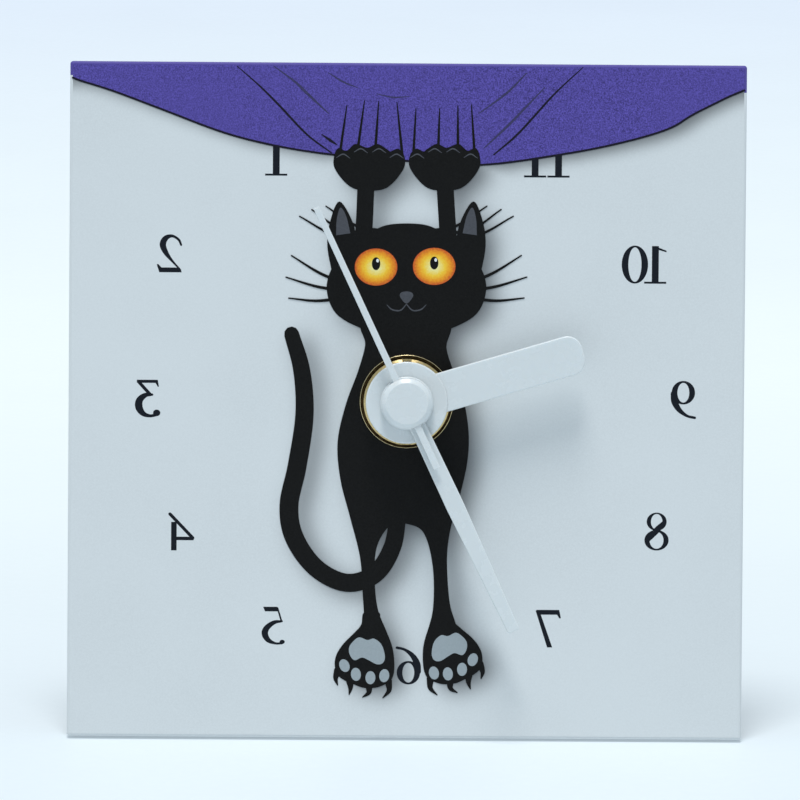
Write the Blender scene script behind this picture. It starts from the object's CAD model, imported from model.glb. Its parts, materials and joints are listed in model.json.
import json
import math

import bpy
import numpy as np
from mathutils import Matrix, Vector
from mathutils.geometry import tessellate_polygon


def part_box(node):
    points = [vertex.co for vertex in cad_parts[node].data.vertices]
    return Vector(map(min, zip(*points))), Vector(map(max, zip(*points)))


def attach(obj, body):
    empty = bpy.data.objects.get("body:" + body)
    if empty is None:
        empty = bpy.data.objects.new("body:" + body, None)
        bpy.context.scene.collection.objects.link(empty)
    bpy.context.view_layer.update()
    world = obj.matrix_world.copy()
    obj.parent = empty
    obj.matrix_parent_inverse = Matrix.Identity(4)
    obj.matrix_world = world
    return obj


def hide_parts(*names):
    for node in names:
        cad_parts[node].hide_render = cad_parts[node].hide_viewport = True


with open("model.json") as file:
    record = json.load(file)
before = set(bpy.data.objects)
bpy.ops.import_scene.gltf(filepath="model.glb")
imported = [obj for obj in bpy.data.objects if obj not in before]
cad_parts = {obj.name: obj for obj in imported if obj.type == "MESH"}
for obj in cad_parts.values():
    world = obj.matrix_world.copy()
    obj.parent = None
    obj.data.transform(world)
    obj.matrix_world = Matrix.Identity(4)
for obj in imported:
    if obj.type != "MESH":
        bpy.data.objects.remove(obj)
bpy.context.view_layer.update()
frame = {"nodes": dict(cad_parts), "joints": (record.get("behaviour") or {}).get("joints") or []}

NODES = frame["nodes"]
MM = 0.001

# Roundings and hole of the panel, and how deep its lacquer reaches, in millimetres
BOARD_SOFT = 0.4
BOARD_SOFT_BEHIND = 0.15
BOARD_CORNER = 0.42
BOARD_HOLE = 4.2
LACQUER_REACH = -2.6

# Where the washer's bright rim gives way to its dark dish
DISH_RADIUS = 6.83

# Spacing of the coil's turns, the board's tracks and the screen marks on the hardboard
WIRE_PITCH = 0.24
TRACK_PITCH = 4
SCREEN_PITCH = 1.1

# Steps in each rounded edge, and the degrees from which an edge stays sharp
ROUND_STEPS = 4
SHARP_ANGLE = 25

# ---- The dial frame: millimetres, origin on the shaft at the panel's front face ----

spin = next(joint for joint in frame["joints"] if joint["name"] == "seconds_spin")
TOWARDS = Vector(spin["axis"]).normalized()
ACROSS = Vector((1, 0, 0))
UP = TOWARDS.cross(ACROSS)
lean_cos, lean_sin = UP.z, UP.y
low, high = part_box("dial_panel")
deep, tall = high.y - low.y, high.z - low.z
PANEL = (lean_cos * tall - lean_sin * deep) / (lean_cos ** 2 - lean_sin ** 2) / MM
ORIGIN = Vector((0, low.y + PANEL / 2 * MM * lean_sin, high.z - PANEL / 2 * MM * lean_cos))
DIAL = Matrix.Translation(ORIGIN) @ Matrix((ACROSS, UP, TOWARDS)).transposed().to_4x4()
DIAL = DIAL @ Matrix.Scale(MM, 4)
HALF = PANEL / 2


# ---- Colours ----

def linear(red, green, blue):
    """Shader colour of an sRGB colour given as 0 to 255"""
    def one(value):
        value /= 255
        return value / 12.92 if value <= 0.04045 else ((value + 0.055) / 1.055) ** 2.4
    return (one(red), one(green), one(blue), 1)


def shade(colour, factor):
    return tuple(min(1, channel * factor) for channel in colour[:3]) + (1,)


WHITE_LACQUER = linear(216, 221, 223)
PRINT_SHADOW = linear(34, 38, 46)
CLOTH_COLOUR = linear(85, 75, 154)
BRASS = (0.80, 0.62, 0.30, 1)
STEEL = (0.62, 0.63, 0.65, 1)
BLACK = (0.022, 0.023, 0.026, 1)

# Gloss of the inks under their lacquer
INK_SHINE = 0.12

# Where the cloth's colour ends on the panel's side edges, and its fall across the panel
CLOTH_SIDE_HEIGHT = 46.5
CLOTH_TILT = 0.019

# Light that comes through the backdrop paper: its share and colour
PAPER_GLOW = 0.3
PAPER_LIGHT = (1.06, 1.11, 1.15)

# Where the cell's end band starts, across the clock
CELL_BAND = 15.5


# ---- Node materials ----

class Nodes:
    """A material whose nodes are made and joined one by one"""

    def __init__(self, name):
        self.material = bpy.data.materials.new(name)
        self.material.use_nodes = True
        self.tree = self.material.node_tree
        self.shader = self.tree.nodes["Principled BSDF"]
        self.place = self.add("ShaderNodeTexCoord").outputs["Object"]

    def add(self, kind, links=None, **settings):
        node = self.tree.nodes.new(kind)
        for key, value in settings.items():
            setattr(node, key, value)
        for key, value in (links or {}).items():
            self.put(node.inputs[key], value)
        return node

    def put(self, socket, value):
        if isinstance(value, bpy.types.NodeSocket):
            self.tree.links.new(value, socket)
        else:
            socket.default_value = value

    def set(self, **inputs):
        for key, value in inputs.items():
            self.put(self.shader.inputs[key.replace("_", " ")], value)

    def stretched(self, x, y, z):
        """Object position scaled by a different amount along each axis"""
        return self.add("ShaderNodeMapping", {"Vector": self.place, "Scale": (x, y, z)}).outputs[0]

    def noise(self, size, detail=3.0, roughness=0.55, where=None):
        """Noise whose features are about size millimetres across"""
        return self.add("ShaderNodeTexNoise", {
            "Vector": where or self.place, "Scale": 1 / (size * MM), "Detail": detail,
            "Roughness": roughness}).outputs[0]

    def from_shaft(self):
        """Distance from the shaft's line and depth in front of the panel, in millimetres"""
        offset = self.add("ShaderNodeVectorMath", {0: self.place, 1: ORIGIN},
                          operation="SUBTRACT").outputs["Vector"]
        turned = self.add("ShaderNodeVectorMath", {0: offset, 1: TOWARDS},
                          operation="CROSS_PRODUCT").outputs["Vector"]
        radius = self.add("ShaderNodeVectorMath", {0: turned}, operation="LENGTH")
        depth = self.add("ShaderNodeVectorMath", {0: offset, 1: TOWARDS}, operation="DOT_PRODUCT")
        return (self.maths("DIVIDE", radius.outputs["Value"], MM),
                self.maths("DIVIDE", depth.outputs["Value"], MM))

    def ramp(self, factor, stops):
        node = self.add("ShaderNodeValToRGB", {"Fac": factor})
        points = node.color_ramp.elements
        while len(points) < len(stops):
            points.new(0.5)
        for point, (position, colour) in zip(points, stops):
            point.position = position
            point.color = colour
        return node.outputs["Color"]

    def shades(self, factor, colour, low=(0.3, 1), high=(0.7, 1)):
        """Ramp between two shades of a colour, each a position and a factor"""
        return self.ramp(factor, [(place, shade(colour, value)) for place, value in (low, high)])

    def maths(self, operation, first, second):
        return self.add("ShaderNodeMath", {0: first, 1: second}, operation=operation).outputs[0]

    def remap(self, value, low_to, high_to, low_from=0.3, high_from=0.7):
        return self.add("ShaderNodeMapRange", {
            "Value": value, "From Min": low_from, "From Max": high_from,
            "To Min": low_to, "To Max": high_to}).outputs["Result"]

    def mix(self, factor, first, second, blend="MIX"):
        node = self.add("ShaderNodeMix", data_type="RGBA", blend_type=blend)
        self.put(node.inputs[0], factor)
        self.put(node.inputs[6], first)
        self.put(node.inputs[7], second)
        return node.outputs[2]

    def bump(self, height, depth_mm, under=None):
        links = {"Height": height, "Distance": depth_mm * MM, "Strength": 1.0}
        if under is not None:
            links["Normal"] = under
        normal = self.add("ShaderNodeBump", links).outputs[0]
        self.set(Normal=normal)
        return normal


def plastic(name, colour, rough, grain=0.35, depth=0.012, wear=0.10, coat=0.0):
    """Moulded plastic: fine spark-eroded grain, faint flow marks and uneven sheen"""
    m = Nodes(name)
    flow = m.noise(9, 4)
    m.set(Base_Color=m.shades(flow, colour, (0.3, 1 - wear), (0.7, 1 + wear)))
    m.set(Roughness=m.remap(m.noise(3, 5), rough - 0.05, rough + 0.07))
    m.set(Coat_Weight=coat, Coat_Roughness=0.12)
    m.bump(m.noise(grain, 2), depth, m.bump(flow, depth * 3))
    return m.material


def painted(name, colour, rough):
    """Baked paint on steel: orange peel with a few dull handling marks"""
    m = Nodes(name)
    marks = m.noise(14, 6, 0.7)
    m.set(Base_Color=m.shades(marks, colour, (0.35, 0.85), (0.75, 1.35)))
    m.set(Roughness=m.remap(marks, rough - 0.06, rough + 0.1), Coat_Weight=0.15)
    m.bump(m.noise(0.7, 2), 0.02)
    return m.material


def metal(name, colour, rough, stretch=(1, 1, 1), grain=0.5, depth=0.004):
    """Metal with drawn or turned marks along its stretch and slightly uneven tarnish"""
    m = Nodes(name)
    scale = tuple(value / (grain * MM) for value in stretch)
    marks = m.add("ShaderNodeTexNoise", {
        "Vector": m.stretched(*scale), "Scale": 1.0, "Detail": 4.0}).outputs[0]
    stain = m.noise(2.6, 4, 0.65)
    m.set(Base_Color=m.ramp(stain, [
        (0.3, shade(colour, 0.76)), (0.62, colour), (0.8, shade(colour, 1.12))]))
    m.set(Metallic=1.0, Roughness=m.remap(marks, rough - 0.06, rough + 0.1))
    m.bump(marks, depth)
    return m.material


def rubber(name, colour):
    m = Nodes(name)
    dust = m.noise(2.0, 5, 0.7)
    m.set(Base_Color=m.shades(dust, colour, (0.4, 1), (0.8, 1.8)))
    m.set(Roughness=m.remap(dust, 0.75, 0.9), Specular_IOR_Level=0.3)
    m.bump(m.noise(0.4, 3), 0.03)
    return m.material


def winding(name, colour):
    """Enamelled wire: fine turns across the coil's length"""
    m = Nodes(name)
    turns = m.add("ShaderNodeTexWave", {
        "Vector": m.place, "Scale": 0.5 / (WIRE_PITCH * MM), "Distortion": 0.6, "Detail": 1.0},
        wave_type="BANDS", bands_direction="X", wave_profile="SIN").outputs["Fac"]
    m.set(Base_Color=m.shades(turns, colour, (0.0, 0.45), (0.6, 1)))
    m.set(Roughness=0.3, Metallic=0.6, Coat_Weight=0.5)
    m.bump(turns, 0.06)
    return m.material


def circuit(name, colour):
    """Resin board with faint copper tracks under green varnish"""
    m = Nodes(name)
    tracks = m.add("ShaderNodeTexBrick", {
        "Vector": m.place, "Scale": 1 / (TRACK_PITCH * MM), "Mortar Size": 0.05,
        "Color1": shade(colour, 1.0), "Color2": shade(colour, 0.8),
        "Mortar": shade(colour, 1.9)}).outputs["Color"]
    m.set(Base_Color=tracks, Roughness=m.remap(m.noise(1.5), 0.25, 0.4), Coat_Weight=0.4)
    m.bump(m.noise(0.6), 0.01)
    return m.material


def hardboard(name, colour):
    """Brown pressed fibre with a screen's imprint, under a white-lacquered front"""
    m = Nodes(name)
    fibres = m.noise(0.9, 7, 0.75, m.stretched(1, 1, 2.2))
    flecks = m.noise(0.35, 3, 0.6)
    brown = m.ramp(fibres, [
        (0.30, shade(colour, 0.55)), (0.5, colour), (0.72, shade(colour, 1.45))])
    brown = m.mix(m.remap(flecks, 0, 0.6, 0.62, 0.7), brown, shade(colour, 0.35))
    weave = [m.add("ShaderNodeTexWave", {"Vector": m.place, "Scale": 0.5 / (SCREEN_PITCH * MM)},
                   bands_direction=way).outputs["Fac"] for way in ("X", "Z")]
    imprint = m.maths("MULTIPLY", weave[0], weave[1])
    _, depth = m.from_shaft()
    front = m.maths("GREATER_THAN", depth, LACQUER_REACH)
    place = m.add("ShaderNodeSeparateXYZ", {0: m.place}).outputs
    cloth_low = ORIGIN.z + CLOTH_SIDE_HEIGHT * MM
    cloth = m.maths("GREATER_THAN", m.maths("ADD", place["Z"], m.maths(
        "MULTIPLY", place["X"], CLOTH_TILT)), cloth_low)
    cloth = m.maths("MULTIPLY", cloth, m.maths("GREATER_THAN", depth, -BOARD_SOFT))
    white = m.mix(cloth, WHITE_LACQUER, CLOTH_COLOUR)
    m.set(Base_Color=m.mix(front, brown, white))
    m.set(Roughness=m.remap(fibres, 0.5, 0.7), Specular_IOR_Level=0.3)
    back = m.maths("SUBTRACT", 1.0, front)
    m.bump(m.maths("MULTIPLY", imprint, back), 0.16,
           m.bump(m.maths("MULTIPLY", fibres, back), 0.05))
    return m.material


def washer_metal(name, colour):
    """Bright brass rim and seat round a darkened dish"""
    m = Nodes(name)
    radius, _ = m.from_shaft()
    dish = m.maths("LESS_THAN", radius, DISH_RADIUS)
    stain = m.noise(0.8, 4, 0.65)
    dark = m.ramp(stain, [(0.3, (0.012, 0.008, 0.003, 1)), (0.75, (0.10, 0.062, 0.022, 1))])
    m.set(Base_Color=m.mix(dish, colour, dark), Metallic=1.0)
    m.set(Roughness=m.remap(stain, 0.16, 0.3))
    m.bump(m.noise(0.5, 3), 0.003)
    return m.material


def print_grain(m, colour, spread, size=0.28):
    """Ink that varies from dot to dot, over a slower drift in tone"""
    dots = m.noise(size, 2, 0.7)
    drift = m.noise(22, 2)
    toned = m.shades(dots, colour, (0.34, 1 - spread), (0.66, 1 + spread))
    return m.mix(m.remap(drift, 0, 0.5), toned, shade(colour, 1.07))


def ink(name, colour, spread, size=0.28):
    """Ink under the panel's gloss lacquer"""
    m = Nodes(name)
    m.set(Base_Color=print_grain(m, colour, spread, size))
    m.set(Roughness=m.remap(m.noise(5, 4), 0.41, 0.51), Specular_IOR_Level=INK_SHINE)
    m.bump(m.noise(0.5, 2), 0.002)
    return m.material


def lacquer(name, colour, shadow_colour):
    """White lacquer with the printed soft shadow that the mesh carries"""
    m = Nodes(name)
    shadow = m.add("ShaderNodeAttribute", attribute_name="print_shadow").outputs["Fac"]
    grained = print_grain(m, colour, 0.03)
    m.set(Base_Color=m.mix(shadow, grained, shadow_colour))
    m.set(Roughness=m.remap(m.noise(7, 4), 0.4, 0.5), Specular_IOR_Level=INK_SHINE)
    m.bump(m.noise(0.6, 2), 0.0025)
    return m.material


def iris(name, stops):
    """Eye ink that goes from pale to orange along the mesh's iris value"""
    m = Nodes(name)
    value = m.add("ShaderNodeAttribute", attribute_name="iris").outputs["Fac"]
    dots = m.remap(m.noise(0.3, 2, 0.7), -0.07, 0.07)
    m.set(Base_Color=m.ramp(m.maths("ADD", value, dots), stops))
    m.set(Roughness=m.remap(m.noise(4, 3), 0.3, 0.38), Specular_IOR_Level=INK_SHINE)
    return m.material


def hand_plastic(name, colour):
    """Thin translucent white plastic with a glossy moulded skin"""
    m = Nodes(name)
    flow = m.noise(6, 3, 0.5)
    m.set(Base_Color=m.shades(flow, colour, (0.3, 0.993), (0.7, 1.007)))
    m.set(Roughness=m.remap(m.noise(2.5, 4), 0.25, 0.29))
    m.set(Subsurface_Weight=0.25, Subsurface_Radius=(0.8, 0.9, 1.0), Subsurface_Scale=0.0008)
    m.bump(m.noise(1.2, 3), 0.001)
    return m.material


def cell_wrap(name):
    """Plain foil-wrapped cell: dark body with a copper-coloured end band"""
    m = Nodes(name)
    along = m.add("ShaderNodeSeparateXYZ", {0: m.place}).outputs["X"]
    band = m.maths("GREATER_THAN", along, CELL_BAND * MM)
    scuff = m.noise(4, 6, 0.7)
    body = m.ramp(scuff, [(0.35, linear(38, 40, 45)), (0.75, linear(58, 60, 66))])
    m.set(Base_Color=m.mix(band, body, linear(176, 118, 62)))
    m.set(Metallic=0.55, Roughness=m.remap(scuff, 0.26, 0.42), Coat_Weight=0.3)
    m.bump(scuff, 0.02)
    return m.material


def floor_paper(name, colour):
    """White backdrop paper, lit from behind a little so that shadows on it stay pale"""
    m = Nodes(name)
    mottle = m.noise(60, 3)
    away = m.add("ShaderNodeSeparateXYZ", {0: m.place}).outputs["Y"]
    paper = m.shades(mottle, colour, (0.3, 0.99), (0.7, 1.01))
    fall = m.ramp(m.remap(away, 0, 1, -0.1, 0.9), [
        (0.12, (0.905, 0.92, 0.98, 1)), (0.38, (1, 1, 1, 1)), (0.84, (0.842, 0.855, 0.96, 1)),
        (1.0, (0.80, 0.82, 0.94, 1))])
    shown = m.mix(1.0, paper, fall, "MULTIPLY")
    lit = m.mix(1.0, shown, (*PAPER_LIGHT, 1), "MULTIPLY")
    m.set(Base_Color=m.mix(PAPER_GLOW, shown, (0, 0, 0, 1)), Emission_Color=lit,
          Emission_Strength=PAPER_GLOW)
    m.set(Roughness=m.remap(m.noise(2, 4), 0.5, 0.6), Specular_IOR_Level=0.3)
    m.bump(m.noise(0.8, 3), 0.01)
    return m.material


# ---- Making pieces in the dial frame ----

def linked(name, data):
    """A new object that is in the scene"""
    made = bpy.data.objects.new(name, data)
    bpy.context.scene.collection.objects.link(made)
    return made


def add_piece(name, verts, faces, material, body="frame", values=None, value_name=""):
    """A mesh given in dial millimetres, with an optional value at each vertex"""
    mesh = bpy.data.meshes.new(name)
    mesh.from_pydata([DIAL @ Vector(v) for v in verts], [], faces)
    mesh.update()
    if values is not None:
        layer = mesh.attributes.new(value_name, "FLOAT", "POINT")
        layer.data.foreach_set("value", values)
    mesh.materials.append(material)
    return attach(linked(name, mesh), body)


class Solid:
    """Vertices and faces gathered for one piece"""

    def __init__(self):
        self.verts = []
        self.faces = []

    def prism(self, loops, bottom, top):
        """Closed prism of an outline and its holes, between two depths"""
        loops = [counter_clockwise(loop, hole=number > 0) for number, loop in enumerate(loops)]
        flat = [point for loop in loops for point in loop]
        start, count = len(self.verts), len(flat)
        self.verts += [(x, y, bottom) for x, y in flat] + [(x, y, top) for x, y in flat]
        for a, b, c in tessellate_polygon([[(x, y, 0) for x, y in loop] for loop in loops]):
            if cross(flat[a], flat[b], flat[c]) < 0:
                b, c = c, b
            self.faces.append((start + count + a, start + count + b, start + count + c))
            self.faces.append((start + c, start + b, start + a))
        first = start
        for loop in loops:
            for number in range(len(loop)):
                a, b = first + number, first + (number + 1) % len(loop)
                self.faces.append((a, b, b + count, a + count))
            first += len(loop)

    def soft_prism(self, outline, bottom, top, soft, soft_below, hole=()):
        """Closed prism whose outer edges are rounded by soft above and soft_below underneath"""
        outline = counter_clockwise(outline)
        rows = rounded_side(bottom, top, soft, soft_below)
        count, start = len(outline), len(self.verts)
        for inset, z in rows:
            self.verts += [(x, y, z) for x, y in inset_outline(outline, inset)]
        for row in range(len(rows) - 1):
            first = start + row * count
            for a in range(count):
                b = (a + 1) % count
                self.faces.append((first + a, first + b, first + b + count, first + a + count))
        hole = counter_clockwise(hole, hole=True) if hole else []
        under = len(self.verts)
        self.verts += [(x, y, bottom) for x, y in hole] + [(x, y, top) for x, y in hole]
        rims = {bottom: (start, under), top: (start + (len(rows) - 1) * count, under + len(hole))}
        for z, (outer, inner) in rims.items():
            index = list(range(outer, outer + count)) + list(range(inner, inner + len(hole)))
            loops = [index[:count], index[count:]] if hole else [index]
            loops = [[self.verts[k][:2] + (0,) for k in loop] for loop in loops]
            for corners in tessellate_polygon(loops):
                a, b, c = (index[k] for k in corners)
                if (cross(self.verts[a], self.verts[b], self.verts[c]) < 0) == (z == top):
                    b, c = c, b
                self.faces.append((a, b, c))
        for a in range(len(hole)):
            b = (a + 1) % len(hole)
            self.faces.append((under + a, under + b, under + b + len(hole), under + a + len(hole)))

    def lathe(self, profile, count=96):
        """Solid turned round the shaft from (radius, depth) points that start and end on it"""
        start = len(self.verts)
        self.verts += [(0, 0, profile[0][1]), (0, 0, profile[-1][1])]
        rings = profile[1:-1]
        for radius, z in rings:
            self.verts += [(x, y, z) for x, y in ellipse((0, 0), radius, radius, 0, count)]
        for k in range(count):
            after = (k + 1) % count
            first, last = start + 2, start + 2 + (len(rings) - 1) * count
            self.faces.append((start, first + after, first + k))
            self.faces.append((start + 1, last + k, last + after))
            for ring_start in range(first, last, count):
                a, b = ring_start + k, ring_start + after
                self.faces.append((a, b, b + count, a + count))

    def piece(self, name, material, **options):
        return add_piece(name, self.verts, self.faces, material, **options)


def rounded_side(bottom, top, soft, soft_below):
    """Inset and depth of each row up a side whose two edges are rounded"""
    quarter = [math.radians(90 * k / ROUND_STEPS) for k in range(ROUND_STEPS + 1)]
    rows = [(soft_below * (1 - math.sin(a)), bottom + soft_below * (1 - math.cos(a)))
            for a in quarter]
    return rows + [(soft * (1 - math.sin(a)), top - soft * (1 - math.cos(a)))
                   for a in reversed(quarter)]


def thicken(piece, top):
    """Give a sheet at the depth top a thickness down to the lowest ink"""
    thick = piece.modifiers.new("thickness", "SOLIDIFY")
    thick.thickness = (top - INK_LOW) * MM
    thick.offset = -1


def inset_outline(outline, inset):
    """An outline moved inwards by the same distance along its whole length"""
    made = []
    for number, here in enumerate(outline):
        before, after = outline[number - 1], outline[(number + 1) % len(outline)]
        way_in = Vector((here[0] - before[0], here[1] - before[1])).normalized()
        way_out = Vector((after[0] - here[0], after[1] - here[1])).normalized()
        mitre = Vector((-way_in.y - way_out.y, way_in.x + way_out.x)).normalized()
        reach = inset / max(0.3, mitre.dot(Vector((-way_in.y, way_in.x))))
        made.append((here[0] + mitre.x * reach, here[1] + mitre.y * reach))
    return made


def smooth_shaded(piece):
    """Smooth shading that keeps flat faces flat and sharp corners sharp"""
    for polygon in piece.data.polygons:
        polygon.use_smooth = True
    piece.data.set_sharp_from_angle(angle=math.radians(SHARP_ANGLE))
    weighted = piece.modifiers.new("flat_faces", "WEIGHTED_NORMAL")
    weighted.keep_sharp = True
    return piece


def cross(a, b, c):
    return (b[0] - a[0]) * (c[1] - a[1]) - (b[1] - a[1]) * (c[0] - a[0])


def counter_clockwise(loop, hole=False):
    area = sum(a[0] * b[1] - b[0] * a[1] for a, b in zip(loop, loop[1:] + loop[:1]))
    return loop[::-1] if (area < 0) != hole else list(loop)


def curve_through(points, closed=False, steps=8):
    """Catmull-Rom curve through points; further columns, such as a width, are carried along"""
    count = len(points)
    rows = [np.array(p, float) for p in points]
    if closed:
        spans = [(rows[i - 1], rows[i], rows[(i + 1) % count], rows[(i + 2) % count])
                 for i in range(count)]
    else:
        ends = [2 * rows[0] - rows[1]] + rows + [2 * rows[-1] - rows[-2]]
        spans = [ends[i:i + 4] for i in range(count - 1)]
    made = []
    for before, start, end, after in spans:
        for t in (step / steps for step in range(steps)):
            made.append(0.5 * (2 * start + (end - before) * t
                               + (2 * before - 5 * start + 4 * end - after) * t ** 2
                               + (3 * start - before - 3 * end + after) * t ** 3))
    if not closed:
        made.append(rows[-1])
    return [tuple(row) for row in made]


def closed_curve(points, steps=8):
    return curve_through(points, closed=True, steps=steps)


def stroke(points, width=None, steps=8, cap=5):
    """Outline of a line with round ends; each point may carry its own width"""
    rows = [tuple(p) + (() if width is None else (width,)) for p in points]
    line = curve_through(rows, steps=steps) if len(rows) > 2 else rows
    centre = np.array([row[:2] for row in line])
    half = np.array([row[2] / 2 for row in line])
    along = np.gradient(centre, axis=0)
    along /= np.linalg.norm(along, axis=1)[:, None]
    side = np.stack([-along[:, 1], along[:, 0]], axis=1)
    left = [tuple(p) for p in centre + side * half[:, None]]
    right = [tuple(p) for p in centre - side * half[:, None]]

    def round_end(at):
        turn = math.atan2(side[at][1], side[at][0])
        angles = [turn - math.pi * k / cap for k in range(1, cap)]
        return [(centre[at][0] + half[at] * math.cos(a), centre[at][1] + half[at] * math.sin(a))
                for a in angles]

    start = [(2 * centre[0][0] - x, 2 * centre[0][1] - y) for x, y in round_end(0)]
    return left + round_end(-1) + right[::-1] + start


def ellipse(centre, rx, ry, tilt=0.0, count=40):
    turn = math.radians(tilt)
    made = []
    for number in range(count):
        a = 2 * math.pi * number / count
        x, y = rx * math.cos(a), ry * math.sin(a)
        made.append((centre[0] + x * math.cos(turn) - y * math.sin(turn),
                     centre[1] + x * math.sin(turn) + y * math.cos(turn)))
    return made


def mirrored(points):
    return [(-row[0],) + tuple(row[1:]) for row in points]


# ---- Heights of the printed layers above the panel ----

INK_LOW = 0.004
LAYER_STEP = 0.0012
TOPS = {"base": 0.02, "numerals": 0.032, "cloth": 0.05, "lines": 0.06, "cat": 0.07,
        "detail": 0.10, "pupil": 0.115, "light": 0.13}
DETAIL = TOPS["detail"]

# ---- Printed numerals: serif figures, drawn as they are read and then mirrored ----

# Height of a figure, its stretch across, and the step to the next as part of the height
FIGURE_HEIGHT = 5.62
FIGURE_WIDTH = 1.12
FIGURE_STEP = 0.55


def box_outline(x0, x1, y0, y1):
    return [(x0, y0), (x1, y0), (x1, y1), (x0, y1)]


def ring(x, y, outer, inner):
    return [ellipse((x, y), *outer), ellipse((x, y), *inner)]


SIX = [ring(0.33, 0.31, (0.275, 0.31), (0.14, 0.26)),
       [stroke([(0.60, 0.97, 0.07), (0.42, 0.92, 0.07), (0.24, 0.77, 0.12), (0.13, 0.56, 0.155),
                (0.105, 0.34, 0.15)])]]

# Parts of each figure one unit high, each part an outline followed by its holes
FIGURES = {
    "0": [ring(0.33, 0.5, (0.31, 0.5), (0.155, 0.455))],
    "1": [[box_outline(0.32, 0.48, 0.02, 0.99)], [box_outline(0.14, 0.66, 0, 0.05)],
          [[(0.14, 0.83), (0.36, 0.90), (0.475, 0.99), (0.42, 0.99), (0.14, 0.87)]]],
    "2": [[stroke([(0.07, 0.72, 0.05), (0.13, 0.86, 0.06), (0.28, 0.955, 0.075),
                   (0.43, 0.90, 0.13), (0.50, 0.73, 0.15), (0.43, 0.52, 0.12),
                   (0.28, 0.30, 0.06), (0.08, 0.06, 0.035)])],
          [[(0.05, 0), (0.58, 0), (0.64, 0.21), (0.60, 0.21), (0.53, 0.125), (0.10, 0.125)]]],
    "3": [[[(0.06, 0.80), (0.09, 0.80), (0.14, 0.90), (0.58, 0.90), (0.58, 0.98), (0.09, 0.98)]],
          [stroke([(0.54, 0.93), (0.27, 0.60)], 0.08)],
          [stroke([(0.22, 0.59, 0.06), (0.38, 0.575, 0.12), (0.515, 0.44, 0.165),
                   (0.525, 0.25, 0.175), (0.43, 0.09, 0.13), (0.27, 0.03, 0.08),
                   (0.12, 0.06, 0.08)])],
          [ellipse((0.11, 0.11), 0.085, 0.085)]],
    "4": [[stroke([(0.58, 0.96), (0.04, 0.33)], 0.08)], [box_outline(0.02, 0.50, 0.27, 0.36)],
          [box_outline(0.42, 0.55, 0, 0.75)]],
    "5": [[[(0.21, 0.98), (0.545, 0.98), (0.50, 0.86), (0.17, 0.86)]],
          [stroke([(0.205, 0.95), (0.11, 0.60)], 0.04)],
          [stroke([(0.10, 0.60, 0.05), (0.28, 0.57, 0.10), (0.45, 0.43, 0.14),
                   (0.50, 0.27, 0.15), (0.42, 0.10, 0.12), (0.25, 0.015, 0.06),
                   (0.10, 0.02, 0.06)])],
          [ellipse((0.09, 0.055), 0.06, 0.055)]],
    "6": SIX,
    "7": [[[(0.05, 0.76), (0.09, 0.76), (0.14, 0.855), (0.56, 0.855), (0.63, 0.98), (0.09, 0.98)]],
          [[(0.60, 0.98), (0.645, 0.955), (0.37, -0.01), (0.25, -0.01), (0.53, 0.875)]]],
    "8": [ring(0.33, 0.75, (0.235, 0.24), (0.135, 0.205)),
          ring(0.33, 0.26, (0.285, 0.27), (0.165, 0.225)),
          [stroke([(0.15, 0.74, 0.09), (0.33, 0.52, 0.15), (0.52, 0.27, 0.09)])]],
    "9": [[[(0.66 - x, 1 - y) for x, y in loop] for loop in part] for part in SIX]}


def numeral(solid, text, centre, top):
    """One mirrored numeral, centred on its ink"""
    parts = [[[(x + FIGURE_STEP * place, y) for x, y in loop] for loop in part]
             for place, figure in enumerate(text) for part in FIGURES[figure]]
    every_x = [x for part in parts for loop in part for x, _ in loop]
    middle = (min(every_x) + max(every_x)) / 2
    for number, part in enumerate(parts):
        placed = [[(centre[0] - (x - middle) * FIGURE_HEIGHT * FIGURE_WIDTH,
                    centre[1] + (y - 0.5) * FIGURE_HEIGHT) for x, y in loop] for loop in part]
        solid.prism(placed, INK_LOW, top + number * LAYER_STEP)


# Middle of each numeral
NUMERALS = {
    "1": (-19.5, 36.1), "2": (-35.2, 21.7), "3": (-38.3, 0.25), "4": (-33.2, -19.5),
    "5": (-19.5, -33.3), "6": (0.55, -39.2), "7": (21.25, -33.5), "8": (37.2, -19.0),
    "9": (41.0, 0.5), "10": (35.0, 20.5), "11": (20.5, 36.1)}

# ---- The picture: a plain black cat that hangs from a cloth by its front claws ----

# Edge of the panel's flat front, and the small turn that squares the picture's points to it
EDGE = HALF - BOARD_SOFT
PICTURE_TURN = math.radians(0.42)


def straightened(points):
    """Turn points of the picture square to the panel, and keep them within its flat front"""
    made = []
    for x, y, *width in points:
        across = x * math.cos(PICTURE_TURN) - y * math.sin(PICTURE_TURN)
        up = x * math.sin(PICTURE_TURN) + y * math.cos(PICTURE_TURN)
        made.append((min(max(across, -EDGE), EDGE), min(up, EDGE), *width))
    return made


def moved(loop, dx, dy, flip=1, turn=0):
    """Turn an outline about its own origin, then shift it, or its mirror image"""
    turn_cos = math.cos(math.radians(turn))
    turn_sin = math.sin(math.radians(turn))
    return [(dx + flip * x * turn_cos - y * turn_sin, dy + flip * x * turn_sin + y * turn_cos)
            for x, y in loop]


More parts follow.
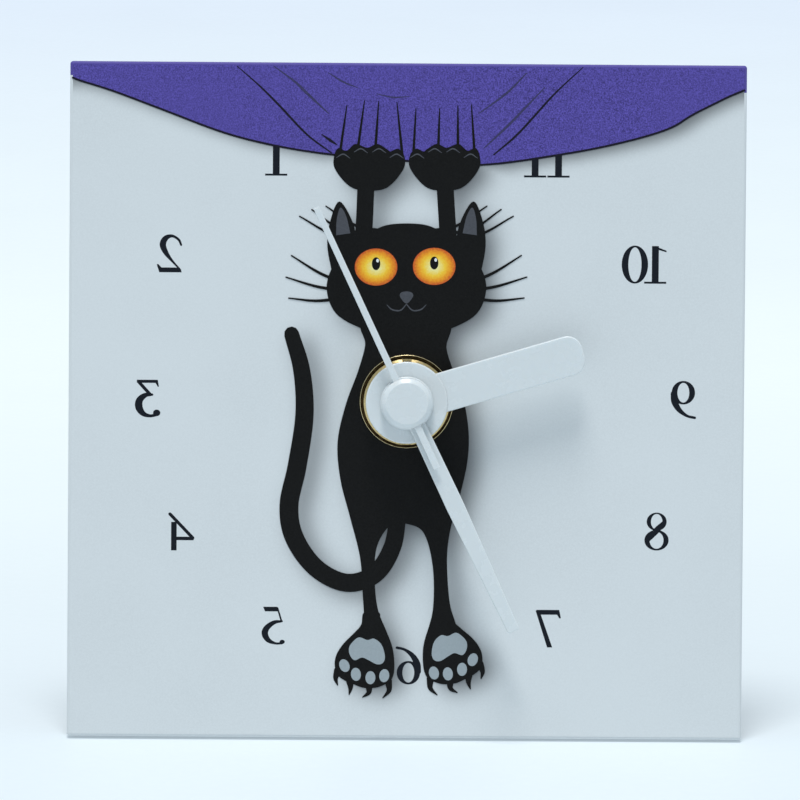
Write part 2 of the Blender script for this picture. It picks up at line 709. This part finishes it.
CLOTH_EDGE = straightened(curve_through([
    (-EDGE, 47.9), (-43.5, 46.0), (-36.3, 43.3), (-27.0, 39.8), (-19.1, 37.8), (-10.7, 36.5),
    (0, 35.6), (11.0, 35.0), (23.3, 36.6), (31.9, 38.3), (38.7, 40.3), (42.7, 42.6), (EDGE, 46.0)]))
CLOTH_EDGE[-1] = (EDGE, CLOTH_EDGE[-1][1])
CLOTH = CLOTH_EDGE + [(EDGE, EDGE), (-EDGE, EDGE)]
DARK_FOLDS = [
    [(-25.0, EDGE, 0.12), (-21.6, 46.6, 0.24), (-18.6, 43.6, 0.32), (-14.7, 39.5, 0.28),
     (-11.1, 36.8, 0.2)],
    [(26.1, EDGE, 0.12), (21.8, 45.4, 0.27), (16.6, 39.7, 0.32), (12.9, 36.5, 0.2)],
    [(-12.5, 39.5, 0.15), (-11.2, 38.6, 0.4), (-10.3, 38.0, 0.15)]]
GREY_FOLDS = [
    [(-19.6, EDGE, 0.12), (-16.6, 47.4, 0.3), (-14.7, 45.6, 0.4), (-11.5, 42.6, 0.15)],
    [(20.4, 46.4, 0.15), (15.4, 41.2, 0.36), (11.5, 37.5, 0.15)],
    [(17.8, 48.6, 0.15), (14.8, 45.6, 0.32), (10.7, 42.6, 0.12)],
    [(-11.5, 48.6, 0.1), (-9.4, 47.3, 0.25), (-7.2, 46.4, 0.1)],
    [(-4.4, 45.5, 0.1), (-2.0, 45.0, 0.22), (0.4, 45.1, 0.1)]]
CLAW_MARKS = [
    [(-8.8, 43.8), (-9.9, 36.3)], [(-6.2, 44.5), (-7.2, 37.3)], [(-4.1, 44.4), (-4.6, 37.3)],
    [(-1.4, 44.2), (-0.6, 36.3)], [(1.4, 43.3), (1.0, 36.1)], [(4.9, 43.3), (4.7, 37.3)],
    [(7.6, 43.7), (7.6, 37.4)], [(9.6, 43.9), (10.1, 36.1)]]

# Front paws: outline about the paw's middle, then each paw's place and sense
PAW_SHAPE = closed_curve([
    (-5.2, 2.3), (-4.6, 3.3), (-3.6, 2.9), (-3.1, 3.1), (-2.1, 3.9), (-0.6, 3.4), (-0.1, 3.4),
    (1.2, 3.9), (2.6, 3.1), (3.1, 2.8), (4.2, 3.2), (5.1, 2.2), (5.1, 0.4), (3.4, -1.9),
    (1.6, -2.9), (-1.6, -2.9), (-3.5, -1.9), (-5.2, 0.4)], 5)
PAW_HEIGHT = 34.2
PAWS = [(-5.45, 1), (5.6, -1)]
PAW_TOES = [(-3.9, 1.4), (-1.3, 2.2), (1.4, 2.2), (4.0, 1.4)]
FORELEGS = [[(-6.0, 32.0), (-6.2, 27.0), (-6.5, 22.5)], [(5.7, 32.0), (6.0, 27.0), (6.3, 22.5)]]
HEAD_SIDE = [(2.4, 26.2), (5.4, 25.0), (8.4, 23.0), (10.9, 20.0), (11.8, 16.6), (10.4, 13.0),
             (6.6, 10.8), (2.8, 9.9)]
HEAD = closed_curve(HEAD_SIDE + mirrored(HEAD_SIDE)[::-1], 6)
EAR = [(7.2, 22.6), (7.9, 26.4), (9.9, 29.6), (11.3, 26.6), (11.7, 23.0), (10.9, 18.5)]

# Body with both hind legs, down one side and up the other
BODY = closed_curve([
    (5.8, 12.0), (5.9, 8.0), (6.9, 4.6), (8.4, 0.4), (9.2, -4.5), (9.0, -9.0), (7.9, -14.0),
    (6.5, -19.0), (6.0, -23.6), (6.4, -29.8), (7.4, -33.4), (7.8, -36.5), (5.8, -38.2),
    (2.6, -36.9), (3.9, -31.0), (3.9, -24.6), (2.6, -19.6), (0.2, -18.2), (-2.4, -18.4),
    (-4.4, -21.6), (-4.7, -26.4), (-4.2, -31.0), (-2.4, -36.4), (-5.6, -38.4), (-7.6, -36.6),
    (-6.4, -32.6), (-6.5, -28.4), (-6.9, -23.0), (-8.4, -17.0), (-9.8, -11.5), (-10.2, -6.0),
    (-9.0, -0.5), (-7.2, 4.4), (-6.1, 8.4), (-6.0, 12.0)], 6)
FOOT = closed_curve([
    (-0.3, 6.2), (1.9, 6.2), (2.1, 5.0), (2.6, 4.0), (3.4, 2.5), (4.0, 0.6), (4.2, -1.4),
    (4.1, -2.9), (3.6, -4.0), (2.6, -4.6), (1.4, -5.0), (-0.35, -5.0), (-1.8, -4.5),
    (-3.2, -3.9), (-4.3, -3.0), (-4.65, -1.4), (-4.3, 0.1), (-3.3, 1.6), (-1.8, 3.1),
    (-0.7, 4.4)], 5)

# Place, sense and turn of each hind foot, then its pads and its claws' middle lines
FEET = [(-6.0, -37.5, 1, 0), (6.5, -36.9, -1, 4.6)]
HEEL = closed_curve([
    (-2.4, -0.1), (-2.5, 1.0), (-1.9, 1.9), (-1.0, 2.5), (0.2, 2.1), (1.2, 2.3), (2.3, 1.4),
    (2.8, -0.3), (2.5, -1.3), (1.6, -1.5), (0.4, -0.9), (-0.6, -0.5), (-1.7, -0.9)], 5)
TOES = [(-3.2, -1.7, 24), (-1.5, -3.0, 6), (0.65, -3.5, -2), (2.7, -3.2, -8)]
CLAWS = [[(-4.2, -2.4), (-4.5, -3.6), (-4.2, -4.6)], [(-2.4, -4.0), (-2.3, -5.0), (-2.5, -6.0)],
         [(0.4, -4.6), (0.4, -5.7), (-0.5, -6.4)], [(3.3, -4.0), (3.4, -5.4), (2.5, -6.5)]]

# Points with a third column carry the line's width
TAIL = [(-1.2, -16.4, 2.5), (-2.1, -21.6, 2.6), (-4.7, -25.6, 2.7), (-8.9, -26.9, 2.7),
        (-13.4, -24.7, 2.7), (-16.6, -20.2, 2.8), (-17.4, -15.4, 2.8), (-16.2, -9.6, 2.8),
        (-15.1, -2.0, 2.7), (-15.5, 4.6, 2.5), (-17.0, 10.0, 2.2)]
EYES = straightened([(-4.5, 19.9), (4.1, 20.0)])
EYE_RX, EYE_RY = 3.15, 2.75
NOSE = closed_curve([(0, 14.5), (0.95, 15.5), (0.8, 16.1), (0, 16.3), (-0.8, 16.1),
                     (-0.95, 15.5)], 5)
SMILE = [(0, 14.4, 0.14), (0.9, 13.5, 0.2), (2.1, 13.6, 0.2), (2.9, 14.3, 0.1)]
EAR_LINING = curve_through([(8.3, 24.9), (8.9, 27.4), (9.75, 28.7), (10.3, 27.0), (10.4, 24.6)],
                           steps=5)
WHISKERS = [[(8.8, 17.4), (12.8, 19.0), (17.0, 21.6)], [(9.0, 16.4), (13.2, 17.0), (17.8, 18.4)],
            [(8.8, 15.4), (13.2, 14.9), (17.4, 15.3)]]
BROW_HAIRS = [[(3.0, 25.2), (7.4, 26.0), (11.9, 28.9)], [(3.2, 24.8), (9.4, 25.4), (14.0, 28.4)],
              [(3.6, 24.4), (10.4, 24.6), (15.8, 27.4)]]


def cat_outlines():
    """Every black part of the cat, as separate outlines that overlap"""
    parts = [moved(PAW_SHAPE, x, PAW_HEIGHT, sense) for x, sense in PAWS] + [HEAD, BODY]
    parts += [stroke(leg, 2.5) for leg in FORELEGS]
    ear = curve_through(EAR, steps=6)
    parts += [ear, mirrored(ear)]
    parts += [moved(FOOT, *place) for place in FEET]
    parts.append(stroke(TAIL))
    return parts


def hind_claws():
    """Short hooked claws below each toe"""
    made = []
    for place in FEET:
        for claw in CLAWS:
            root, middle, tip = moved(claw, *place)
            made.append(stroke([(*root, 1.1), (*middle, 0.7), (*tip, 0.16)], steps=5))
    return made


# ---- The printed sheet on the panel, with the picture's soft shadow in its mesh ----

# Grid of the sheet, and its hole, which is hidden under the washer
GRID = 0.5
SHEET_HOLE = 5.4

# How far each printed shadow lies from its shape, how far it spreads and how dark it is
CAT_SHADOW = {"across": 1.7, "down": 1.2, "blur": 1.5, "strength": 0.84}
CLOTH_SHADOW = {"across": 1.5, "down": 0.9, "blur": 0.9, "strength": 0.75}


def inside(loop, x, y):
    """Which of the points lie inside an outline"""
    found = np.zeros(x.shape, bool)
    for (x0, y0), (x1, y1) in zip(loop, loop[1:] + loop[:1]):
        if y0 == y1:
            continue
        crosses = (y0 > y) != (y1 > y)
        found ^= crosses & (x < (x1 - x0) * (y - y0) / (y1 - y0) + x0)
    return found


def blurred(values, sigma):
    reach = int(3 * sigma / GRID) + 1
    kernel = np.exp(-0.5 * (np.arange(-reach, reach + 1) * GRID / sigma) ** 2)
    kernel /= kernel.sum()
    for axis in (0, 1):
        padded = np.pad(values, [(reach, reach) if a == axis else (0, 0) for a in (0, 1)], "edge")
        values = sum(weight * np.take(padded, range(k, k + values.shape[axis]), axis=axis)
                     for k, weight in enumerate(kernel))
    return values


def print_sheet(material):
    """Thin sheet with a hole for the bush, whose mesh holds the shadow's strength"""
    count = round(2 * EDGE / GRID)
    ticks = np.linspace(-EDGE, EDGE, count + 1)
    x, y = np.meshgrid(ticks, ticks)
    cat = np.zeros(x.shape, bool)
    for loop in cat_outlines():
        cat |= inside(straightened(loop), x - CAT_SHADOW["across"], y + CAT_SHADOW["down"])
    wide = [(3 * px if abs(px) > EDGE - 0.01 else px, py) for px, py in CLOTH]
    cloth = inside(wide, x - CLOTH_SHADOW["across"], y + CLOTH_SHADOW["down"])
    strength = CAT_SHADOW["strength"] * blurred(cat.astype(float), CAT_SHADOW["blur"])
    strength = np.maximum(
        strength, CLOTH_SHADOW["strength"] * blurred(cloth.astype(float), CLOTH_SHADOW["blur"]))
    used, verts, values, faces = {}, [], [], []

    def vertex(row, column):
        if (row, column) not in used:
            px, py = ticks[column], ticks[row]
            away = math.hypot(px, py)
            if away < SHEET_HOLE + 0.75 * GRID:
                px, py = px * SHEET_HOLE / away, py * SHEET_HOLE / away
            used[row, column] = len(verts)
            verts.append((px, py, TOPS["base"]))
            values.append(strength[row, column])
        return used[row, column]

    for row in range(count):
        for column in range(count):
            corners = [(row, column), (row, column + 1), (row + 1, column + 1), (row + 1, column)]
            if min(math.hypot(ticks[c], ticks[r]) for r, c in corners) > SHEET_HOLE:
                faces.append([vertex(r, c) for r, c in corners])
    sheet = add_piece("print_sheet", verts, faces, material, values=values,
                      value_name="print_shadow")
    thicken(sheet, TOPS["base"])
    return sheet


def printed(name, loops, layer, material, step=0.0):
    """One ink's piece: its outlines in one layer, each step above the one before"""
    solid = Solid()
    for number, loop in enumerate(loops):
        solid.prism([loop], INK_LOW, TOPS[layer] + number * step)
    return solid.piece(name, material)


def print_picture():
    """Inks of the numerals, the cloth and the cat, each a little above the one before"""
    numerals = Solid()
    for text, centre in NUMERALS.items():
        numeral(numerals, text, centre, TOPS["numerals"])
    numerals.piece("print_numerals", ink("numeral_ink", linear(22, 26, 34), 0.2))

    printed("print_cloth", [CLOTH], "cloth", ink("cloth_ink", CLOTH_COLOUR, 0.55, size=0.2))
    lines = [stroke(CLOTH_EDGE[::2], 0.32, steps=2)]
    lines += [stroke(straightened(fold)) for fold in DARK_FOLDS]
    printed("print_fold_lines", lines, "lines", ink("fold_ink", linear(27, 25, 38), 0.25),
            LAYER_STEP)
    printed("print_grey_folds", [stroke(straightened(fold)) for fold in GREY_FOLDS], "lines",
            ink("grey_fold_ink", linear(62, 60, 96), 0.2))

    hairs = [curve for hair in BROW_HAIRS + WHISKERS for curve in (hair, mirrored(hair))]
    black = cat_outlines() + hind_claws()
    black += [stroke([(x0, y0, 0.14), ((x0 + x1) / 2, (y0 + y1) / 2, 0.32), (x1, y1, 0.42)],
                     steps=6) for (x0, y0), (x1, y1) in CLAW_MARKS]
    black += [stroke([(*root, 0.5), (*middle, 0.42), (*tip, 0.2)]) for root, middle, tip in hairs]
    printed("print_cat", [straightened(loop) for loop in black], "cat",
            ink("cat_black_ink", linear(19, 19, 19), 0.35), LAYER_STEP / 2)

    pads = []
    for place in FEET:
        pads.append(moved(HEEL, *place))
        pads += [moved(ellipse((x, y), 0.74, 0.98, tilt, 20), *place) for x, y, tilt in TOES]
    printed("print_pads", [straightened(loop) for loop in pads], "detail",
            ink("pad_ink", linear(157, 167, 172), 0.05))

    face = Solid()
    face.prism([straightened(NOSE)], INK_LOW, DETAIL)
    for sense in (1, -1):
        smile = stroke([(sense * x, y, width) for x, y, width in SMILE])
        face.prism([straightened(smile)], INK_LOW, DETAIL + (1 + sense) * LAYER_STEP)
        lining = [(sense * x, y) for x, y in EAR_LINING]
        face.prism([straightened(lining)], INK_LOW, DETAIL)
    for x, sense in PAWS:
        for toe_x, toe_y in moved(PAW_TOES, x, PAW_HEIGHT, sense):
            arc = [(toe_x - 1.0, toe_y + 0.5, 0.08), (toe_x, toe_y + 1.0, 0.2),
                   (toe_x + 1.0, toe_y + 0.4, 0.08)]
            face.prism([straightened(stroke(arc))], INK_LOW, DETAIL)
    face.piece("print_face_lines", ink("face_grey_ink", linear(78, 80, 86), 0.12))


def print_eyes():
    """Round eyes of rings, so that their colour can run outwards, with plain round pupils"""
    rings, spokes = 12, 48
    verts, faces, values = [], [], []
    for centre in EYES:
        start = len(verts)
        verts.append((*centre, DETAIL))
        values.append(0.0)
        for share in (step / rings for step in range(1, rings + 1)):
            ring_points = ellipse(centre, EYE_RX * share, EYE_RY * share, 0, spokes)
            verts += [(x, y, DETAIL) for x, y in ring_points]
            values += [share] * spokes
        for k in range(spokes):
            turn = (k + 1) % spokes - k
            faces.append((start, start + 1 + k, start + 1 + k + turn))
            for a in range(start + 1 + k, start + 1 + k + spokes * (rings - 1), spokes):
                faces.append((a, a + spokes, a + spokes + turn, a + turn))
    stops = [(0.0, linear(238, 236, 208)), (0.22, linear(244, 232, 150)),
             (0.5, linear(248, 206, 66)), (0.76, linear(240, 158, 44)), (1.0, linear(205, 92, 46))]
    eyes = add_piece("print_eyes", verts, faces, iris("eye_ink", stops), values=values,
                     value_name="iris")
    thicken(eyes, DETAIL)
    printed("print_pupils", [ellipse((x, y + 0.5), 0.62, 0.95) for x, y in EYES], "pupil",
            ink("pupil_ink", linear(18, 17, 18), 0.2))
    printed("print_eye_lights", [ellipse((x + 0.22, y + 0.95), 0.2, 0.26) for x, y in EYES],
            "light", ink("eye_light_ink", linear(232, 236, 236), 0.02))


# ---- Finishes of the CAD nodes ----

# Nodes whose edges are softened, with the width of the rounding in millimetres
ROUNDED = {"front_case": 0.4, "rear_cover": 0.3, "desk_stand": 0.25, "setting_knob": 0.12,
           "hanger_tab": 0.15, "battery_can": 0.3}


def finish_nodes():
    hand = hand_plastic("hand_plastic", linear(218, 224, 226))
    natural = plastic("gear_plastic", linear(226, 221, 204), 0.4, 0.6, 0.004, 0.04)
    brass = metal("turned_brass", BRASS, 0.26, grain=0.6)
    wheel = metal("stamped_brass", (0.75, 0.56, 0.26, 1), 0.3, (1, 8, 8), 0.8)
    steel = metal("plated_steel", STEEL, 0.28, (8, 1, 1), 0.8)
    screw = metal("screw_steel", (0.58, 0.59, 0.62, 1), 0.32, grain=0.5)
    iron = metal("soft_iron", (0.42, 0.43, 0.45, 1), 0.42, (1, 6, 6), 0.7)
    strip = metal("contact_strip", (0.70, 0.71, 0.72, 1), 0.25, (8, 8, 1), 0.6)
    dark = plastic("case_plastic", BLACK, 0.48)
    chosen = {
        "dial_panel": hardboard("hardboard", linear(112, 78, 52)),
        "brass_washer": washer_metal("washer_brass", (0.9, 0.74, 0.42, 1)),
        "round_nut": brass,
        "threaded_bush": metal("bush_brass", (0.76, 0.58, 0.29, 1), 0.34, grain=0.3),
        "rubber_washer": rubber("black_rubber", linear(28, 28, 29)),
        "desk_stand": painted("stand_paint", linear(34, 35, 38), 0.4),
        "front_case": dark,
        "post_plate": plastic("plate_plastic", linear(62, 64, 68), 0.5),
        "rear_cover": plastic("cover_plastic", shade(BLACK, 1.25), 0.52, 0.5, 0.02),
        "hanger_tab": metal("hanger_steel", (0.55, 0.57, 0.60, 1), 0.3, (1, 1, 8), 0.9),
        "hanger_rivets": metal("rivet_aluminium", (0.68, 0.69, 0.72, 1), 0.36),
        "battery_can": cell_wrap("cell_wrap"),
        "battery_cap": metal("cell_metal", (0.66, 0.67, 0.69, 1), 0.24),
        "contact_positive": strip, "contact_negative": strip,
        "circuit_board": circuit("board_resin", linear(38, 98, 62)),
        "chip_cover": plastic("chip_resin", linear(24, 24, 25), 0.22, 1.2, 0.02, 0.2, 0.6),
        "quartz_crystal": metal("crystal_can", (0.72, 0.73, 0.75, 1), 0.2),
        "coil_bobbin": plastic("bobbin_plastic", linear(220, 214, 196), 0.42, 0.6, 0.006, 0.05),
        "coil_winding": winding("winding_wire", linear(176, 84, 42)),
        "coil_core": iron, "stator_plate": iron,
        "core_screws": screw, "bridge_screws": screw,
        "train_bridge": plastic("bridge_plastic", linear(58, 60, 65), 0.46),
        "rotor_magnet": metal("magnet", (0.26, 0.26, 0.28, 1), 0.5, grain=0.4, depth=0.01),
        "seconds_arbor": metal("arbor_steel", STEEL, 0.18, grain=0.4),
        "centre_wheel": wheel,
        "clutch_spring": metal("spring_brass", (0.68, 0.50, 0.22, 1), 0.28),
        "cannon_pinion": steel,
        "setting_pinion": plastic("setting_plastic", linear(214, 214, 210), 0.4),
        "setting_knob": plastic("knob_plastic", linear(52, 54, 58), 0.46, 0.5, 0.02)}
    chosen.update(dict.fromkeys(("second_hand", "minute_hand", "hour_hand"), hand))
    chosen.update(dict.fromkeys(("rotor_pinion", "fifth_wheel", "seconds_wheel", "third_wheel",
                                 "minute_wheel", "hour_wheel"), natural))
    for name, node in NODES.items():
        node.data.materials.clear()
        node.data.materials.append(chosen[name])
    for name, width in ROUNDED.items():
        weld = NODES[name].modifiers.new("weld", "WELD")
        weld.merge_threshold = 0.002 * MM
        flat = NODES[name].modifiers.new("whole_faces", "DECIMATE")
        flat.decimate_type = "DISSOLVE"
        flat.angle_limit = math.radians(1)
        bevel = NODES[name].modifiers.new("edges", "BEVEL")
        bevel.width = width * MM
        bevel.segments = 3
        bevel.limit_method = "ANGLE"
        bevel.angle_limit = math.radians(40)
        bevel.use_clamp_overlap = False
        bevel.miter_outer = "MITER_ARC"
        weighted = NODES[name].modifiers.new("flat_faces", "WEIGHTED_NORMAL")
        weighted.keep_sharp = True


# ---- The board and the hands, rebuilt with rounded edges ----

# Directions are degrees anticlockwise from three o'clock's side; depths are above the panel
HOUR = {"direction": 90 + 30 * 9.55, "length": 27.1, "width": 5.9, "tip_radius": 2.2,
        "boss_radius": 6.05, "boss": (3.3, 4.4), "blade": (3.5, 4.2), "soft": 0.2}
MINUTE = {"direction": 90 + 6 * 34.25, "length": 37.3, "width": 2.7,
          "boss_radius": 3.9, "boss": (4.6, 5.5), "blade": (4.75, 5.25), "soft": 0.16,
          "root_half": 1.188, "tip_half": 0.9, "widest": 16.785, "tip_corner": 0.25}
SECOND = {"direction": 90 + 6 * 4.2, "length": 31.8, "width": 1.05, "tip_half": 0.462, "tail": 10.6,
          "boss_radius": 3.7, "boss": (5.7, 6.7), "blade": (5.85, 6.25), "soft": 0.12}

# Chamfer round the second hand's cap, across and down, with small breaks at its two edges
CAP_SLOPE = 0.65
CAP_DROP = 0.35
CAP_BREAK = 0.1
CAP_SHOULDER = 0.08


def rounded_rectangle(x0, x1, y0, y1, radius, steps=8):
    """Outline with round corners, anticlockwise"""
    made = []
    for x, y, start in ((x1 - radius, y1 - radius, 0), (x0 + radius, y1 - radius, 90),
                        (x0 + radius, y0 + radius, 180), (x1 - radius, y0 + radius, 270)):
        for step in range(steps + 1):
            a = math.radians(start + 90 * step / steps)
            made.append((x + radius * math.cos(a), y + radius * math.sin(a)))
    return made


def boss_profile(hand):
    """Half section of a flat hub with rounded rims"""
    radius, (z0, z1), soft = hand["boss_radius"], hand["boss"], hand["soft"]
    side = [(radius - inset, z) for inset, z in rounded_side(z0, z1, soft, soft)]
    return [(0, z0)] + side + [(0, z1)]


def make_hand(node, body, hand, outline, profile, material):
    """A hub and a blade with soft edges, in place of the hand's CAD node"""
    solid = Solid()
    solid.lathe(profile)
    outline = moved(outline, 0, 0, turn=hand["direction"])
    solid.soft_prism(outline, *hand["blade"], hand["soft"], hand["soft"])
    piece = smooth_shaded(solid.piece(node + "_moulded", material, body=body))
    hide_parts(node)


def make_hands(material):
    length, half = HOUR["length"], HOUR["width"] / 2
    blade = [point for point in rounded_rectangle(0, length, -half, half, HOUR["tip_radius"])
             if point[0] > length / 2] + [(0, half), (0, -half)]
    blade.sort(key=lambda point: math.atan2(point[1], point[0] - length / 2))
    make_hand("hour_hand", "hour", HOUR, blade, boss_profile(HOUR), material)

    length, half = MINUTE["length"], MINUTE["width"] / 2
    widest, tip, corner = MINUTE["widest"], MINUTE["tip_half"], MINUTE["tip_corner"]
    side = [(0, MINUTE["root_half"]), (widest, half), (length - corner, tip),
            (length, tip - corner)]
    blade = [(x, -y) for x, y in side] + side[::-1]
    make_hand("minute_hand", "minute", MINUTE, blade, boss_profile(MINUTE), material)

    length, half, tip = SECOND["length"], SECOND["width"] / 2, SECOND["tip_half"]
    blade = [(-SECOND["tail"], -half), (length, -tip), (length, tip), (-SECOND["tail"], half)]
    radius, (z0, z1) = SECOND["boss_radius"], SECOND["boss"]
    cap = [(0, z0), (radius - CAP_BREAK, z0), (radius, z0 + CAP_BREAK),
           (radius, z1 - CAP_DROP - CAP_BREAK), (radius - CAP_SHOULDER, z1 - CAP_DROP),
           (radius - CAP_SLOPE, z1), (0, z1)]
    make_hand("second_hand", "seconds", SECOND, blade, cap, material)


def make_board(material):
    """The panel with rounded edges; thick is its own thickness, from the leaning node's box"""
    solid = Solid()
    outline = rounded_rectangle(-HALF, HALF, -HALF, HALF, BOARD_CORNER)
    thick = (lean_cos * deep - lean_sin * tall) / (lean_cos ** 2 - lean_sin ** 2) / MM
    solid.soft_prism(outline, -thick, 0, BOARD_SOFT, BOARD_SOFT_BEHIND,
                     ellipse((0, 0), BOARD_HOLE, BOARD_HOLE, 0, 64))
    board = smooth_shaded(solid.piece("dial_board", material))
    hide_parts("dial_panel")


# ---- Light, floor and camera ----

# Distance and width seen at the clock in metres, angles in degrees, shift in millimetres
CAMERA_DISTANCE = 1.3
FRAME_WIDTH = 0.11841
SENSOR = 36.0
CAMERA_AZIMUTH = -0.6
CAMERA_ELEVATION = 10.9
CAMERA_ROLL = 0.5
CAMERA_SHIFT = (-0.96, 0.20)

# A broad soft lamp high up in front, and an even pale sky
SUN_POWER = 2.38
SUN_SPREAD = 19
SUN_COLOUR = (1.0, 1.005, 1.0)
SUN_FROM = Vector((-0.05, -0.175, 0.974))
SKY_COLOUR = (0.81, 0.93, 1.03, 1)
SKY_STRENGTH = 0.495
FLOOR_HALF = 6.0


def make_camera():
    camera = linked("camera", bpy.data.cameras.new("camera"))
    turn, rise = math.radians(CAMERA_AZIMUTH), math.radians(CAMERA_ELEVATION)
    back = Vector((math.sin(turn) * math.cos(rise), -math.cos(turn) * math.cos(rise),
                   math.sin(rise)))
    facing = back.to_track_quat("Z", "Y").to_matrix()
    aim = ORIGIN + facing @ Vector((CAMERA_SHIFT[0] * MM, CAMERA_SHIFT[1] * MM, 0))
    camera.matrix_world = (Matrix.Translation(aim + back * CAMERA_DISTANCE)
                           @ facing.to_4x4() @ Matrix.Rotation(math.radians(CAMERA_ROLL), 4, "Z"))
    camera.data.sensor_width = SENSOR
    camera.data.lens = SENSOR * CAMERA_DISTANCE / FRAME_WIDTH
    camera.data.clip_start = 0.01
    camera.data.clip_end = 20
    bpy.context.scene.camera = camera


def make_light():
    key = bpy.data.lights.new("overhead_light", "SUN")
    key.energy = SUN_POWER
    key.angle = math.radians(SUN_SPREAD)
    key.color = SUN_COLOUR
    lamp = linked("overhead_light", key)
    lamp.rotation_euler = SUN_FROM.to_track_quat("Z", "Y").to_euler()
    world = bpy.data.worlds.new("studio")
    world.use_nodes = True
    sky = world.node_tree.nodes["Background"]
    sky.inputs["Color"].default_value = SKY_COLOUR
    sky.inputs["Strength"].default_value = SKY_STRENGTH
    bpy.context.scene.world = world
    bpy.context.scene.view_settings.view_transform = "Standard"


def make_floor():
    mesh = bpy.data.meshes.new("floor")
    corners = [(-1, -1), (1, -1), (1, 1), (-1, 1)]
    mesh.from_pydata([(x * FLOOR_HALF, y * FLOOR_HALF, 0) for x, y in corners], [], [(0, 1, 2, 3)])
    mesh.materials.append(floor_paper("floor_paper", linear(233, 240, 238)))
    linked("floor", mesh)


make_camera()
make_light()
make_floor()
finish_nodes()
make_board(NODES["dial_panel"].data.materials[0])
make_hands(NODES["hour_hand"].data.materials[0])
sheet = print_sheet(lacquer("white_lacquer", WHITE_LACQUER, PRINT_SHADOW))
print_picture()
print_eyes()
